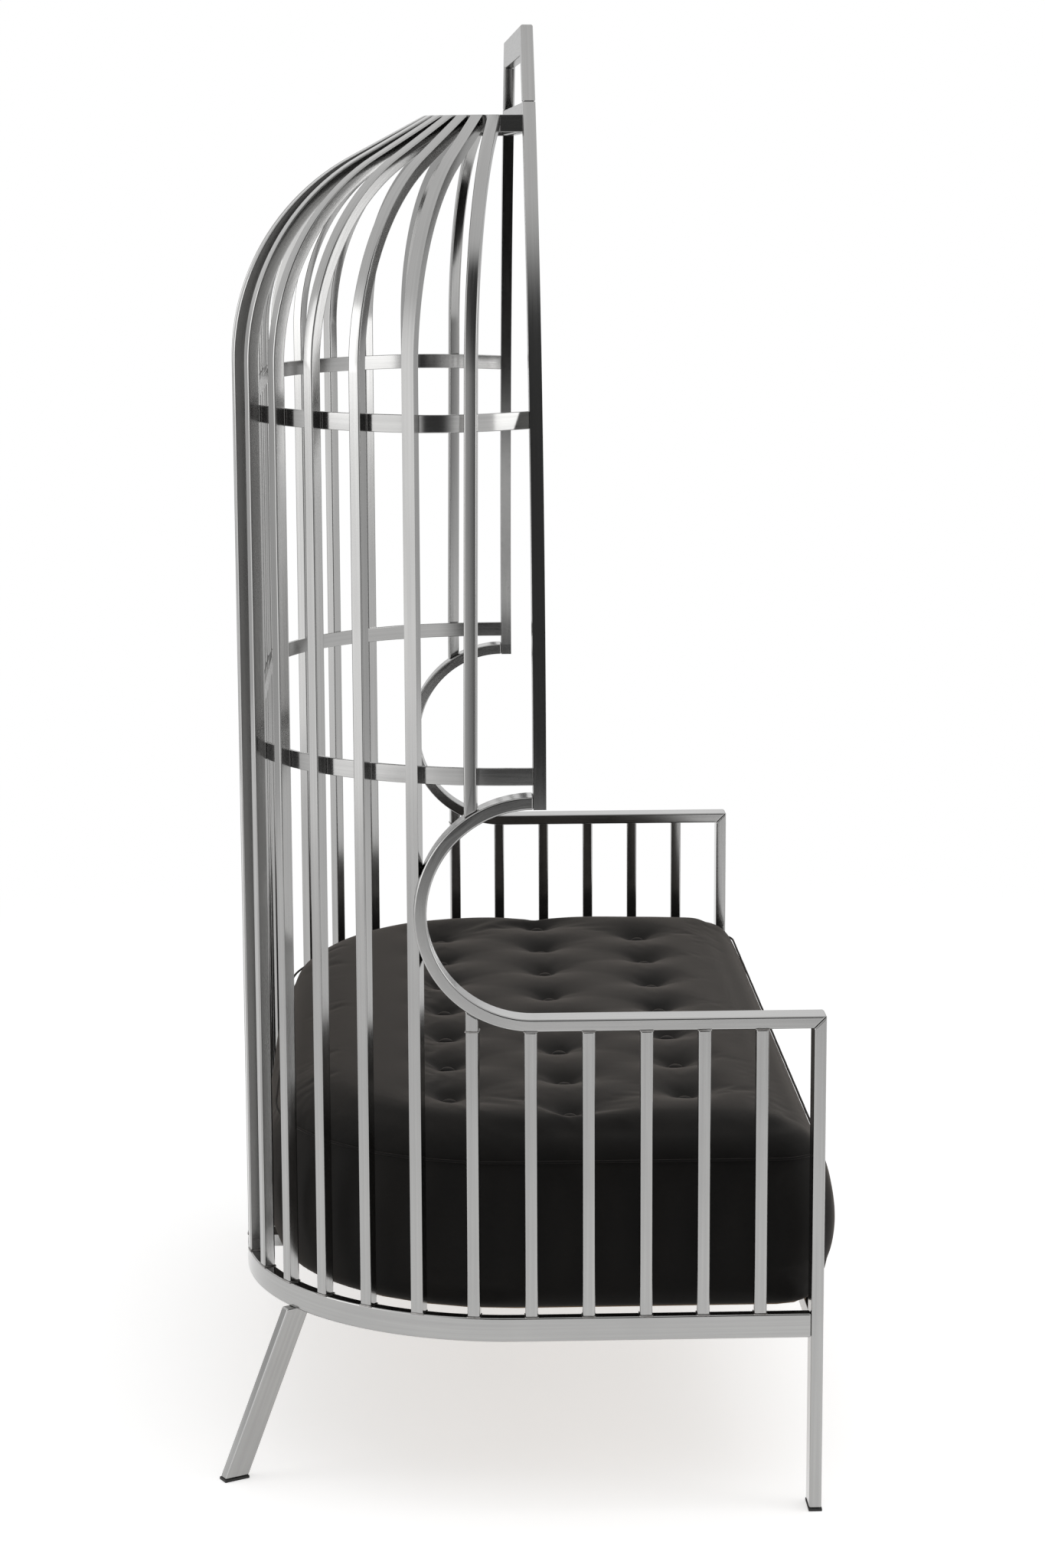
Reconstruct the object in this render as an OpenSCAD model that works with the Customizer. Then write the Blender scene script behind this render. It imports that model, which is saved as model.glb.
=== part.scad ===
// Two-seat cage sofa: a steel cage on four legs, a crown with a loop on top, and one deep-buttoned seat pad.
// The sofa faces -Y, Z is up, and the origin is on the floor under the middle of the whole sofa.
// Inside the modules a depth is counted backwards from the front face of the front posts, and x is
// counted from the middle; in_place() then moves the piece so that the whole sofa is centred.

/* [Plan] */
// Overall width of the cage
frame_w = 1410; // [1250:10:1700]
// Depth of the cage, from the front posts to the back of the base ring
frame_d = 750; // [740:10:850]
// Outer radius of the two round back corners
corner_r = 360; // [320:5:370]
// Gaps between uprights round the whole ring, an odd number
gap_count = 35; // [31:2:35]

/* [Steel sections] */
// Side of the square tube of the uprights
tube = 16; // [12:0.5:20]
// Width of the flat tube of the posts, arms and hood front
bar_w = 38; // [30:1:44]
// Height of the flat tube of the base ring and the back legs
ring_h = 32; // [24:1:42]
// Thickness of the flat bar of the three hoops
hoop_t = 6; // [4:0.5:9]
// Height of the flat bar of the three hoops
hoop_h = 22; // [15:1:28]

/* [Heights above the floor] */
// Underside of the base ring
ring_z = 235; // [190:5:280]
// Top of the arms
arm_z = 658; // [610:2:720]
// Underside of the lower hoop
hoop_low_z = 954; // [945:1:1040]
// Overall height, at the top of the loop
overall_h = 1892; // [1850:1:1990]
// Height of the loop above the crown hoop
loop_h = 115; // [90:1:130]
// Rise of the ribs from where they start to curve in to the crown hoop
crown_rise = 314; // [290:1:340]
// Drop from where the ribs start to curve in to the underside of the upper hoop
hoop_drop = 72; // [60:1:150]

/* [Hood] */
// Front face of the hood behind the front posts
hood_y = 353; // [330:1:365]
// Outer radius of the C-shaped curve of each arm
curve_r = 150; // [135:1:150]
// How far inside the cage's outer face the crown hoop lies
crown_inset = 263; // [245:1:290]
// Run of a rib's outer face from the spring line to the top of the crown
crown_run = 255; // [238:1:262]
// Slope of the ribs at the crown, above level
crown_slope = 28; // [24:1:34]

/* [Legs] */
// Place of the back legs round the corner, from the side towards the back
leg_turn = 55; // [40:1:65]
// Turn of the back legs' own section
leg_face = 61; // [45:1:75]
// Way in which the back legs splay, 90 for straight back
leg_aim = 83; // [55:1:90]
// Splay of the back legs from upright
leg_splay = 20.4; // [10:0.2:28]
// Thickness of the glides under the feet
glide_t = 4; // [2:0.5:8]
// Edge of a glide round its foot
glide_lip = 0.8; // [0:0.1:2]

/* [Seat] */
// Seat height at the edge of the pad
seat_z = 485; // [440:1:540]
// How far the crown of the pad stands above its edge
seat_crown = 18; // [5:1:30]
// Space from the cage's outer face to the pad's sides
seat_inset = 46; // [42:1:60]
// How far the pad sits down inside the base ring
seat_sink = 7; // [0:1:12]
// How far the front of the pad stands before the front posts
seat_overhang = 6; // [0:1:15]
// Radius of the pad's front corners in plan
seat_corner_r = 60; // [30:1:90]
// Bulge of the pad's sides at half height
side_bulge = 6; // [2:0.5:6]
// Extra bulge of the pad's front
front_bulge = 14; // [0:1:20]
// Extra bulge of the pad's back
back_bulge = 14; // [0:1:16]
// Distance between tufts, across and from row to row
tuft_pitch = 157; // [140:1:165]
// First row of tufts behind the front posts
tuft_first_y = 160; // [150:1:175]
// Depth of a tuft under the crown
tuft_depth = 20; // [8:1:26]
// Radius of a covered button
button_r = 10; // [7:0.5:13]
// Radius of the piping round the top of the pad
welt_r = 3; // [2:0.5:5]
// Thickness of the seat board
board_t = 15; // [9:1:21]

/* [Seat carriers] */
// Distance of the two outer bearers from the middle one
bearer_pitch = 300; // [200:10:330]
// Height of the bearers under the seat
bearer_h = 16; // [10:1:20]
// Radius of the seat screws
screw_r = 2.5; // [2:0.25:4]
// Radius of the screws' heads
screw_head_r = 5; // [4.5:0.5:8]

/* [Hidden] */
$fn = 96;
arch_fn = 480;
overrun = 1;             // cuts run past the faces they open
soft_gap = 0.3;          // air round the soft pieces
fit_gap = 0.1;           // clearance round a screw
half_w = frame_w / 2;
corner_x = half_w - corner_r;       // middle of a back corner
corner_y = frame_d - corner_r;
ring_top = ring_z + ring_h;
arm_bottom = arm_z - tube;
hood_back = hood_y + tube;
curve_z = arm_bottom + curve_r;     // middle of the C-shaped curve
curve_top = curve_z + curve_r;
curve_back = hood_back + curve_r;
crown_z = overall_h - loop_h;       // top of the crown hoop
spring_z = crown_z - crown_rise;    // where the ribs start to curve in
hoop_high_z = spring_z - hoop_drop; // underside of the upper hoop

// The uprights stand at equal gaps along the middle of the ring, from one front post to the other
path_r = corner_r - tube / 2;
path_side = corner_y - tube / 2;
path_arc = path_r * PI / 2;
path_len = 2 * (path_side + path_arc + corner_x);
pitch = path_len / gap_count;

// Turn of the ring's outward face at a distance along the path, 0 at the side and 90 at the back
function path_turn(s) = max(0, min(90, (s - path_side) / path_r * 180 / PI));
// Point of the path on the left half
function path_point(s) =
    s < path_side ? [-half_w + tube / 2, tube / 2 + s]
    : s < path_side + path_arc
        ? [-corner_x - path_r * cos(path_turn(s)), corner_y + path_r * sin(path_turn(s))]
        : [-corner_x + s - path_side - path_arc, frame_d - tube / 2];

// Uprights 1 to arm_count of each side end at the arm, and the ones behind them reach the crown
arm_count = len([for (i = [1:gap_count]) if (i * pitch < path_len / 2)
    if (path_point(i * pitch)[1] < curve_back - tube) i]);
rib_count = gap_count - 1 - 2 * arm_count;

// Hood ribs: a straight part that may lean, an arc, and a straight slope to the crown
end_turn = 90 - crown_slope;
function arc_r(lean, foot_z) =
    let (run = crown_run - (spring_z - foot_z) * tan(lean),
        a = cos(lean) - cos(end_turn),
        b = sin(end_turn) - sin(lean))
    (crown_rise * sin(end_turn) - run * cos(end_turn)) / (b * sin(end_turn) - a * cos(end_turn));
slope_len = 2 * crown_inset;        // longer than needed, and trimmed at the crown

// Hood front: an arc from the top of the C-shaped curve to the crown
arch_rise = crown_z - curve_top;
arch_run = crown_inset - hoop_t / 2;
arch_r = (arch_rise * arch_rise + arch_run * arch_run) / (2 * arch_run);
crown_bar_z = crown_z - hoop_h;
crown_bar_top = crown_bar_z + bar_w;

// The upper hoop follows the hood front inwards between the first full rib and the front
hoop_high_mid = hoop_high_z + hoop_h / 2;
hood_lean_in = arch_r - sqrt(arch_r * arch_r - pow(hoop_high_mid - curve_top, 2));
front_s = hood_back - tube / 2;             // place of the hood's back face along the path
free_s = (arm_count + 1) * pitch;           // place of the first full rib
lean_power_share = 1.5;
function lean_in(s) = s >= free_s ? 0
    : hood_lean_in * pow((free_s - s) / (free_s - front_s), lean_power_share);

// The short hood ribs stand on the C-shaped curves, upright to the lower hoop and then leaning in
short_s = arm_count * pitch;
hoop_low_top = hoop_low_z + hoop_h;
short_lean = atan(lean_in(short_s) / (hoop_high_z + hoop_h - hoop_low_top));
hoop_steps = 30;
arc_steps = 24;

// Back legs
leg_drop = ring_z - glide_t;
leg_half = ring_h / 2 / cos(leg_splay);
leg_kick = leg_drop * tan(leg_splay);
leg_top = [-corner_x - path_r * cos(leg_turn), corner_y + path_r * sin(leg_turn)];
leg_foot = leg_top + leg_kick * [-cos(leg_aim), sin(leg_aim)];
leg_along = [-cos(leg_face), sin(leg_face)];
leg_aside = [sin(leg_face), cos(leg_face)];
foot_reach = leg_foot[1] + (leg_half + glide_lip) * sin(leg_face)
    + (tube / 2 + glide_lip) * cos(leg_face);

// Seat pad, drawn by its plan outline and by levels down its side
board_z = ring_top - seat_sink;      // top of the front rail and the bearers
pad_bottom = board_z + soft_gap;
pad_half_w = half_w - seat_inset;
pad_back_r = corner_r - seat_inset;
pad_front_x = pad_half_w - seat_corner_r;   // middle of a front corner
pad_front_y = seat_corner_r - seat_overhang;
pad_wall = 14;           // cover and wadding round the foam
edge_roll = 5;           // rounding of the top edge
edge_drop = 19;          // where the side starts
core_drop = 42;          // top of the foam under the pad's edge
core_top = seat_z - core_drop;
pad_mid_z = (pad_bottom + seat_z) / 2;
side_levels = [[-pad_wall, seat_z], [-edge_roll, seat_z - edge_roll], [0, seat_z - edge_drop],
    [side_bulge, pad_mid_z], [-side_bulge, pad_bottom]];
level_count = len(side_levels);
bulge_level = 3;
pad_reach = seat_overhang + side_bulge + front_bulge;
mid_y = (foot_reach - pad_reach) / 2;

// Tufts: three rows, the middle one set off by half a pitch
tufts = concat(
    [for (i = [-3:3]) [i * tuft_pitch, tuft_first_y]],
    [for (i = [-4:3]) [(i + 1 / 2) * tuft_pitch, tuft_first_y + tuft_pitch]],
    [for (i = [-3:3]) [i * tuft_pitch, tuft_first_y + 2 * tuft_pitch]]);
tuft_spread_share = 0.24;
tuft_spread = tuft_spread_share * tuft_pitch;

// Grid of the pad's top: columns at quarter pitches, closer round the corners, and rows in the same way
cells_per_pitch = 4;
grid_step = tuft_pitch / cells_per_pitch;
mid_cols = 14;
side_cols = 4;
tuft_row_count = 12;
back_row_count = 3;
row_count = tuft_row_count + back_row_count;
core_half_w = pad_half_w - pad_wall;
core_back_r = pad_back_r - pad_wall;
core_front_r = seat_corner_r - pad_wall;
first_turn = asin((mid_cols * grid_step - corner_x) / core_back_r);
side_xs = [for (k = [1:side_cols])
    corner_x + core_back_r * sin(first_turn + (90 - first_turn) * k / side_cols)];
grid_xs = concat([for (k = [side_cols - 1:-1:0]) -side_xs[k]],
    [for (i = [-mid_cols:mid_cols]) i * grid_step], side_xs);
col_count = len(grid_xs);

// Parts of a corner's radius that an edge point lies outwards, at the front and at the back
function front_part(x) = min(1, max(0, abs(x) - pad_front_x) / core_front_r);
function back_part(x) = min(1, max(0, abs(x) - corner_x) / core_back_r);
function front_edge(x) = pad_front_y - core_front_r * sqrt(1 - pow(front_part(x), 2));
function back_edge(x) = corner_y + core_back_r * sqrt(1 - pow(back_part(x), 2));
tuft_rows_share = 0.78;
tuft_last_y = tuft_first_y + 2 * tuft_pitch;
function last_row(x) = min(tuft_last_y, front_edge(x) + tuft_rows_share * (back_edge(x) - front_edge(x)));
function row_share(j) = 1 - (tuft_row_count - j) * grid_step / (tuft_last_y - front_edge(0));
function grid_y(x, j) =
    j == 0 ? front_edge(x)
    : j <= tuft_row_count ? front_edge(x) + row_share(j) * (last_row(x) - front_edge(x))
    : last_row(x) + (back_edge(x) - last_row(x)) * (j - tuft_row_count) / back_row_count;

// Height of the pad's top: a crown that falls to the edge, less the dimples of the tufts
function depth_part(x, y) = 2 * (y - front_edge(x)) / (back_edge(x) - front_edge(x)) - 1;
function crown_part(x, y) = max(0, (1 - pow(x / core_half_w, 4)) * (1 - pow(depth_part(x, y), 4)));
function dimple(x, y) = tuft_depth
    * max([for (t = tufts) exp(-(pow(x - t[0], 2) + pow(y - t[1], 2)) / pow(tuft_spread, 2))]);
function top_z(x, y) = seat_z + crown_part(x, y) * seat_crown - min(1, 4 * crown_part(x, y)) * dimple(x, y);

// Edge points of the grid in order round the pad, each with the way outwards
edge_points = concat(
    [for (c = [0:col_count - 1]) let (x = grid_xs[c], p = front_part(x))
        [x, front_edge(x), sign(x) * p, -sqrt(1 - p * p)]],
    [for (j = [1:row_count - 1]) [core_half_w, grid_y(core_half_w, j), 1, 0]],
    [for (c = [col_count - 1:-1:0]) let (x = grid_xs[c], p = back_part(x))
        [x, back_edge(x), sign(x) * p, sqrt(1 - p * p)]],
    [for (j = [row_count - 1:-1:1]) [-core_half_w, grid_y(core_half_w, j), -1, 0]]);
edge_count = len(edge_points);
function edge_at(e, out, z) = [e[0] + e[2] * out, e[1] + e[3] * out, z];
function end_bulge(e) = (e[3] < 0 ? front_bulge : back_bulge) * pow(e[3], 2);
function level_point(e, level) = edge_at(e,
    pad_wall + side_levels[level][0] + (level == bulge_level ? end_bulge(e) : 0), side_levels[level][1]);
// Outline of the pad's core, moved outwards by a gap
function core_outline(gap) = [for (e = edge_points) [e[0] + e[2] * gap, e[1] + e[3] * gap]];

// Piping on the rolled edge
edge_len = norm([edge_roll, edge_drop - edge_roll]);
welt_out = (welt_r + soft_gap) * (edge_drop - edge_roll) / edge_len - edge_roll / 2;
welt_z = seat_z - (edge_roll + edge_drop) / 2 + (welt_r + soft_gap) * edge_roll / edge_len;
welt_sides = 6;

// Buttons sit in the dimples on a cone steeper than the dimples
button_cone = button_r / 2;
button_h = 3;
button_top_share = 0.8;
button_side_share = 0.7;

// Screws that hold the seat board down on the bearers
screw_ys = [tuft_first_y, frame_d - seat_inset - tuft_first_y];
screw_grip = 12;         // thread in the board
screw_head_h = 3;

// The sofa's middle comes to the origin
module in_place() { translate([0, -mid_y, 0]) children(); }

// The right-hand twin of a left-hand piece
module twin() { mirror([1, 0, 0]) children(); }

// Stands an outline drawn in depth and height across the sofa, from the left side inwards
module across() { translate([-half_w, 0, 0]) rotate([90, 0, 90]) children(); }

// Stands an outline drawn in width and height in the plane of the hood front
module in_hood_front() { translate([0, hood_back, 0]) rotate([90, 0, 0]) children(); }

// Stands on the outer face of the ring at upright i of the left half, with x inwards
module at_station(i) {
    s = i * pitch;
    p = path_point(s);
    translate([p[0], p[1], 0]) rotate([0, 0, -path_turn(s)]) translate([-tube / 2, -tube / 2, 0]) children();
}

// Plan of the cage, an inset in from its outer face, from a depth to the back
module cage_plan(inset, from_y) {
    intersection() {
        translate([-half_w, from_y]) square([frame_w, frame_d - from_y]);
        union() {
            translate([-half_w + inset, 0]) square([frame_w - 2 * inset, corner_y]);
            translate([-corner_x, 0]) square([2 * corner_x, frame_d - inset]);
            for (x = [-corner_x, corner_x]) translate([x, corner_y]) circle(r = corner_r - inset);
        }
    }
}

// Flat band that follows the cage's plan
module cage_band(inset, thickness, height, from_y) {
    linear_extrude(height) difference() {
        cage_plan(inset, from_y);
        cage_plan(inset + thickness, from_y - overrun);
    }
}

// Space taken by the arm and its C-shaped curve above the arm uprights
module arm_space() {
    across() translate([0, 0, -overrun]) linear_extrude(bar_w + 2 * overrun) {
        translate([-overrun, arm_bottom]) square([hood_back + overrun, 2 * curve_r]);
        translate([hood_back, curve_z]) circle(r = curve_r);
    }
}

module base_ring() {
    color("silver") in_place() translate([0, 0, ring_z]) cage_band(0, tube, ring_h, tube);
}

// Rail between the front posts, under the front of the pad
module front_rail() {
    color("silver") in_place() translate([-half_w + bar_w, 0, ring_z])
        cube([frame_w - 2 * bar_w, tube, board_z - ring_z]);
}

// Front post: leg and arm post in one, mitred to the arm
module front_post() {
    across() linear_extrude(bar_w)
        polygon([[0, glide_t], [tube, glide_t], [tube, arm_bottom], [0, arm_z]]);
}

// Arm and C-shaped curve, bent from one length
module arm_bow() {
    across() {
        linear_extrude(bar_w)
            polygon([[0, arm_z], [tube, arm_bottom], [hood_back, arm_bottom], [hood_back, arm_z]]);
        translate([hood_back, curve_z, 0]) rotate([0, 0, -90]) rotate_extrude(angle = 180)
            translate([curve_r - tube, 0]) square([tube, bar_w]);
    }
}

// Corners of the back leg's section, round a place at a height
function leg_corners(place, z) = [for (c = [[-1, -1], [1, -1], [1, 1], [-1, 1]])
    let (p = place + c[0] * leg_half * leg_along + c[1] * tube / 2 * leg_aside) [p[0], p[1], z]];

// Back leg: flat tube from the underside of the ring, splayed backwards
module back_leg() {
    polyhedron(points = concat(leg_corners(leg_foot, glide_t), leg_corners(leg_top, ring_z)),
        faces = [[3, 2, 1, 0], [4, 5, 6, 7], [5, 4, 0, 1], [6, 5, 1, 2], [7, 6, 2, 3], [4, 7, 3, 0]]);
}

module front_glide() {
    translate([-half_w - glide_lip, -glide_lip, 0])
        cube([bar_w + 2 * glide_lip, tube + 2 * glide_lip, glide_t]);
}

module back_glide() {
    translate([leg_foot[0], leg_foot[1], 0]) rotate([0, 0, 180 - leg_face])
        translate([-leg_half - glide_lip, -tube / 2 - glide_lip, 0])
            cube([2 * (leg_half + glide_lip), tube + 2 * glide_lip, glide_t]);
}

module glides() {
    color("black") in_place() {
        front_glide();
        back_glide();
        twin() front_glide();
        twin() back_glide();
    }
}

// Upright i between the base ring and the arm
module arm_upright(i) {
    difference() {
        at_station(i) translate([0, 0, ring_top]) cube([tube, tube, curve_z - ring_top]);
        arm_space();
    }
}

// Points of an arc round a middle, from one turn above level to the slope at the crown
function arc_points(middle, r, from) = [for (k = [0:arc_steps])
    let (a = from + (end_turn - from) * k / arc_steps) [middle[0] - r * cos(a), middle[1] + r * sin(a)]];
function backwards(points) = [for (k = [len(points) - 1:-1:0]) points[k]];

// Side view of a rib: upright to knee_z, leaning inwards to the spring line, then an arc and a slope
function rib_outline(foot_z, knee_z, lean) =
    let (r = arc_r(lean, knee_z),
        middle = [(spring_z - knee_z) * tan(lean) + r * cos(lean), spring_z - r * sin(lean)],
        outer = arc_points(middle, r, lean),
        inner = arc_points(middle, r - tube, lean),
        slope = slope_len * [cos(crown_slope), sin(crown_slope)])
    concat([[0, foot_z]], lean > 0 ? [[0, knee_z]] : [], outer,
        [outer[arc_steps] + slope, inner[arc_steps] + slope], backwards(inner),
        lean > 0 ? [[tube, knee_z - tube * tan(lean / 2)]] : [], [[tube, foot_z]]);

// Rib at upright i of the left half, trimmed at the crown hoop
module rib_at(i, foot_z, knee_z, lean) {
    at_station(i) intersection() {
        translate([0, tube, 0]) rotate([90, 0, 0]) linear_extrude(tube)
            polygon(rib_outline(foot_z, knee_z, lean));
        translate([-tube, -overrun, 0]) cube([tube + crown_inset, tube + 2 * overrun, crown_z]);
    }
}

module front_post_left() { color("silver") in_place() front_post(); }
module front_post_right() { color("silver") in_place() twin() front_post(); }
module back_leg_left() { color("silver") in_place() back_leg(); }
module back_leg_right() { color("silver") in_place() twin() back_leg(); }
module arm_bow_left() { color("silver") in_place() arm_bow(); }
module arm_bow_right() { color("silver") in_place() twin() arm_bow(); }
module arm_upright_left(i) { color("silver") in_place() arm_upright(i); }
module arm_upright_right(i) { color("silver") in_place() twin() arm_upright(i); }

// Full rib of the left half, coped where it meets the C-shaped curve
module full_rib(i) {
    difference() {
        rib_at(i, ring_top, ring_top, 0);
        arm_bow();
    }
}

// Cage rib i, counted from the left side round the back to the right side
module cage_rib(i) {
    color("silver") in_place()
        if (i <= rib_count / 2) full_rib(arm_count + i);
        else twin() full_rib(arm_count + rib_count + 1 - i);
}

// Short rib of the hood, from the C-shaped curve upright to the lower hoop and leaning inwards above it
module hood_rib() {
    difference() {
        rib_at(arm_count, curve_z, hoop_low_top, short_lean);
        arm_space();
    }
}

module hood_rib_left() { color("silver") in_place() hood_rib(); }
module hood_rib_right() { color("silver") in_place() twin() hood_rib(); }

// Disc about the middle of the left hood front's arc
module arch_disc(r) { translate([arch_r - half_w, curve_top]) circle(r = r, $fn = arch_fn); }

// Half of the hood front, from the C-shaped curve to the crown
module hood_front() {
    in_hood_front() linear_extrude(tube) {
        translate([-half_w, curve_top - tube]) square([bar_w, tube]);
        intersection() {
            difference() {
                arch_disc(arch_r);
                arch_disc(arch_r - bar_w);
            }
            translate([-half_w, curve_top]) square([half_w, crown_bar_top - curve_top]);
        }
    }
}

module hood_front_left() { color("silver") in_place() hood_front(); }
module hood_front_right() { color("silver") in_place() twin() hood_front(); }

// Space to the right of the left arc of the hood front, an inset in from it
module arch_side(inset, low_z, high_z) {
    arch_disc(arch_r - inset);
    translate([arch_r - half_w, low_z]) square([frame_w, high_z - low_z]);
}

// Space between the two arcs of the hood front, an inset in from them, from one height to another
module arch_span(inset, low_z, high_z) {
    intersection() {
        translate([-half_w, low_z]) square([frame_w, high_z - low_z]);
        arch_side(inset, low_z, high_z);
        mirror([1, 0]) arch_side(inset, low_z, high_z);
    }
}

module crown_bar() {
    color("silver") in_place() in_hood_front() linear_extrude(tube)
        arch_span(bar_w, crown_bar_z, crown_bar_top);
}

// Loop on top: the hood front's arcs go on upwards to a bar across
module crown_loop() {
    color("silver") in_place() in_hood_front() linear_extrude(tube) difference() {
        arch_span(0, crown_bar_top, overall_h);
        arch_span(bar_w, crown_bar_top - overrun, overall_h - bar_w);
    }
}

module crown_hoop() {
    color("silver") in_place() translate([0, 0, crown_z - hoop_h])
        cage_band(crown_inset, hoop_t, hoop_h, hood_back);
}

module lower_hoop() {
    color("silver") in_place() translate([0, 0, hoop_low_z]) cage_band(tube, hoop_t, hoop_h, hood_back);
}

// One side of the upper hoop's outline, from the hood front to the back, an inset in from the cage
function hoop_side(inset) = [for (k = [0:hoop_steps])
    let (s = front_s + (path_side + path_arc - front_s) * k / hoop_steps,
        p = path_point(s), t = path_turn(s), w = inset + lean_in(s) - tube / 2)
    [p[0] + w * cos(t), p[1] - w * sin(t)]];
function twin_points(points) = [for (p = points) [-p[0], p[1]]];

module upper_hoop() {
    outer = hoop_side(tube);
    inner = hoop_side(tube + hoop_t);
    color("silver") in_place() translate([0, 0, hoop_high_z]) linear_extrude(hoop_h)
        polygon(concat(outer, backwards(twin_points(outer)), twin_points(inner), backwards(inner)));
}

// Bearers under the seat board, from the front rail to the back of the ring
module seat_bearers() {
    color("silver") in_place() for (x = [-bearer_pitch, 0, bearer_pitch]) difference() {
        translate([x - bar_w / 2, tube, board_z - bearer_h])
            cube([bar_w, frame_d - 2 * tube, bearer_h]);
        for (y = screw_ys) translate([x, y, board_z - bearer_h - overrun])
            cylinder(r = screw_r + fit_gap, h = bearer_h + 2 * overrun, $fn = 32);
    }
}

module seat_screws() {
    color("gray") in_place() for (x = [-bearer_pitch, 0, bearer_pitch]) for (y = screw_ys) {
        translate([x, y, board_z - bearer_h - screw_head_h])
            cylinder(r = screw_head_r, h = screw_head_h, $fn = 32);
        translate([x, y, board_z - bearer_h])
            cylinder(r = screw_r, h = bearer_h + screw_grip, $fn = 32);
    }
}

module seat_board() {
    color("tan") in_place() difference() {
        translate([0, 0, board_z]) linear_extrude(board_t) polygon(core_outline(0));
        for (x = [-bearer_pitch, 0, bearer_pitch]) for (y = screw_ys)
            translate([x, y, board_z - overrun])
                cylinder(r = screw_r + fit_gap, h = screw_grip + 2 * overrun, $fn = 32);
    }
}

module seat_foam() {
    color("ivory") in_place() translate([0, 0, board_z + board_t + soft_gap])
        linear_extrude(core_top - board_z - board_t - 2 * soft_gap) polygon(core_outline(0));
}

// Place in the grid of an edge point, in the order of edge_points
function edge_index(e) =
    e < col_count ? e * (row_count + 1)
    : e < col_count + row_count - 1 ? (col_count - 1) * (row_count + 1) + e - col_count + 1
    : e < 2 * col_count + row_count - 1 ? (2 * col_count + row_count - 2 - e) * (row_count + 1) + row_count
    : edge_count - e;

// Faces of a strip between two rings of edge points, each given by its own list of point numbers
function strip(upper, lower) = [for (e = [0:edge_count - 1]) let (n = (e + 1) % edge_count)
    each [[upper[e], upper[n], lower[n]], [upper[e], lower[n], lower[e]]]];
function ring_from(first) = [for (e = [0:edge_count - 1]) first + e];

// Flat faces that close a ring of edge points, in strips from the front to the back
function front_place(c) = c;
function back_place(c) = 2 * col_count + row_count - 2 - c;
function left_place(j) = (edge_count - j) % edge_count;
function right_place(j) = col_count - 1 + j;
lid = concat(
    [for (c = [1:col_count - 3])
        each [[front_place(c), front_place(c + 1), back_place(c + 1)],
            [front_place(c), back_place(c + 1), back_place(c)]]],
    [for (j = [0:row_count - 1])
        each [[front_place(1), left_place(j + 1), left_place(j)],
            [front_place(col_count - 2), right_place(j), right_place(j + 1)]]],
    [[front_place(1), back_place(1), back_place(0)],
        [front_place(col_count - 2), back_place(col_count - 1), back_place(col_count - 2)]]);

// Cover of the pad with its wadding: the tufted top and the bulging sides, round the foam and the board
module seat_cover() {
    rows = row_count + 1;
    grid = [for (x = grid_xs) for (j = [0:row_count]) let (y = grid_y(x, j)) [x, y, top_z(x, y)]];
    sides = [for (level = [1:level_count - 1]) for (e = edge_points) level_point(e, level)];
    inside = [for (z = [pad_bottom, core_top]) for (e = edge_points) edge_at(e, soft_gap, z)];
    top_faces = [for (c = [0:col_count - 2]) for (j = [0:row_count - 1]) let (a = c * rows + j, b = a + rows)
        each c < (col_count - 1) / 2
            ? [[a, a + 1, b + 1], [a, b + 1, b]]
            : [[a, a + 1, b], [a + 1, b + 1, b]]];
    rings = concat([[for (e = [0:edge_count - 1]) edge_index(e)]],
        [for (k = [0:level_count]) ring_from(len(grid) + k * edge_count)]);
    side_faces = [for (k = [0:level_count]) each strip(rings[k], rings[k + 1])];
    lid_faces = [for (f = lid) [for (e = f) rings[level_count + 1][e]]];
    color("dimgray") in_place()
        polyhedron(points = concat(grid, sides, inside), faces = concat(top_faces, side_faces, lid_faces));
}

// Piping all round the rolled top edge
module seat_piping() {
    points = [for (e = edge_points) for (k = [0:welt_sides - 1])
        let (turn = 360 * k / welt_sides)
            edge_at(e, pad_wall + welt_out + welt_r * cos(turn), welt_z + welt_r * sin(turn))];
    faces = [for (e = [0:edge_count - 1]) for (k = [0:welt_sides - 1])
        let (n = (e + 1) % edge_count * welt_sides, m = (k + 1) % welt_sides,
            a = e * welt_sides + k, b = e * welt_sides + m, c = n + k, d = n + m)
        each [[a, b, d], [a, d, c]]];
    color("black") in_place() polyhedron(points = points, faces = faces);
}

module seat_buttons() {
    color("dimgray") in_place() for (t = tufts) translate([t[0], t[1], top_z(t[0], t[1]) + soft_gap])
        rotate_extrude($fn = 32) polygon([[0, 0], [button_r, button_cone],
            [button_r * button_top_share, button_cone + button_h * button_side_share],
            [0, button_cone + button_h]]);
}

base_ring();
front_rail();
front_post_left();
front_post_right();
back_leg_left();
back_leg_right();
glides();
arm_bow_left();
arm_bow_right();
for (i = [1:arm_count]) arm_upright_left(i);
for (i = [1:arm_count]) arm_upright_right(i);
for (i = [1:rib_count]) cage_rib(i);
hood_rib_left();
hood_rib_right();
hood_front_left();
hood_front_right();
crown_bar();
crown_loop();
crown_hoop();
upper_hoop();
lower_hoop();
seat_bearers();
seat_screws();
seat_board();
seat_foam();
seat_cover();
seat_piping();
seat_buttons();
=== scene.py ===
import math
import random

import bmesh
import bpy
import numpy as np
from mathutils import Matrix, Vector


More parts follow.
